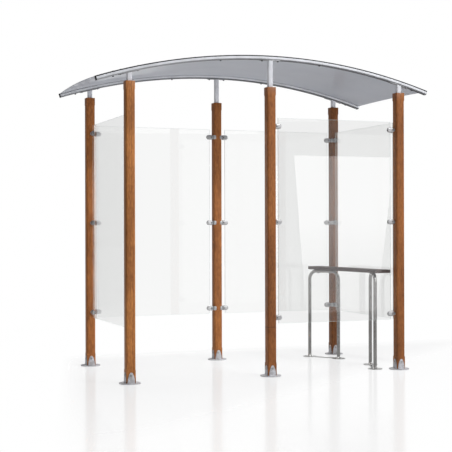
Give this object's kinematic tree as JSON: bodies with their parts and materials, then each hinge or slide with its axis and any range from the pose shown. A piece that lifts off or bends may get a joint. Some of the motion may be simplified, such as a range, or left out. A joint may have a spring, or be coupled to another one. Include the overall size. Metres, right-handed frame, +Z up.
{
  "type": "smoking shelter",
  "caption": "Open smoking shelter on timber posts with an arched roof, clamped glass panels and a narrow leaning table.",
  "frame": {"origin": "on the floor, at the middle of the plan", "axes": "+X along the rows to the right seen from the front, +Y from the open front to the back, +Z up"},
  "size_m": [2.9296, 1.41, 2.6068],
  "materials": {
    "timber": "oiled",
    "shoe_steel": "satin",
    "stub_steel": "satin",
    "rail_aluminium": "satin",
    "gasket_rubber": "matte",
    "strip_dark": "matte",
    "cap_black": "matte",
    "roof_grey": "gloss",
    "pane_glass": "gloss",
    "clamp_steel": "satin",
    "table_board": "satin",
    "hoop_steel": "satin"
  },
  "bodies": {
    "root": {"post_front_left": "timber", "post_front_middle": "timber", "post_front_right": "timber", "post_back_left": "timber", "post_back_middle": "timber", "post_back_right": "timber", "shoe_front_left": "shoe_steel", "shoe_front_middle": "shoe_steel", "shoe_front_right": "shoe_steel", "shoe_back_left": "shoe_steel", "shoe_back_middle": "shoe_steel", "shoe_back_right": "shoe_steel", "stub_front_left": "stub_steel", "stub_front_middle": "stub_steel", "stub_front_right": "stub_steel", "stub_back_left": "stub_steel", "stub_back_middle": "stub_steel", "stub_back_right": "stub_steel", "rail_front": "rail_aluminium", "rail_back": "rail_aluminium", "gasket_front": "gasket_rubber", "gasket_back": "gasket_rubber", "cover_strip_front": "strip_dark", "cover_strip_back": "strip_dark", "end_caps_front": "cap_black", "end_caps_back": "cap_black", "roof_sheet": "roof_grey", "glass_left_end": "pane_glass", "glass_back_left": "pane_glass", "glass_back_right": "pane_glass", "glass_right_end": "pane_glass", "glass_front_right": "pane_glass", "clamps_left_end": "clamp_steel", "clamps_back_left": "clamp_steel", "clamps_back_right": "clamp_steel", "clamps_right_end": "clamp_steel", "clamps_front_right": "clamp_steel", "brackets_front": "clamp_steel", "brackets_back": "clamp_steel", "table_plank": "table_board", "table_hoop_back": "hoop_steel", "table_hoop_front": "hoop_steel", "table_foot_back": "hoop_steel", "table_foot_front": "hoop_steel"}
  },
  "joints": []
}
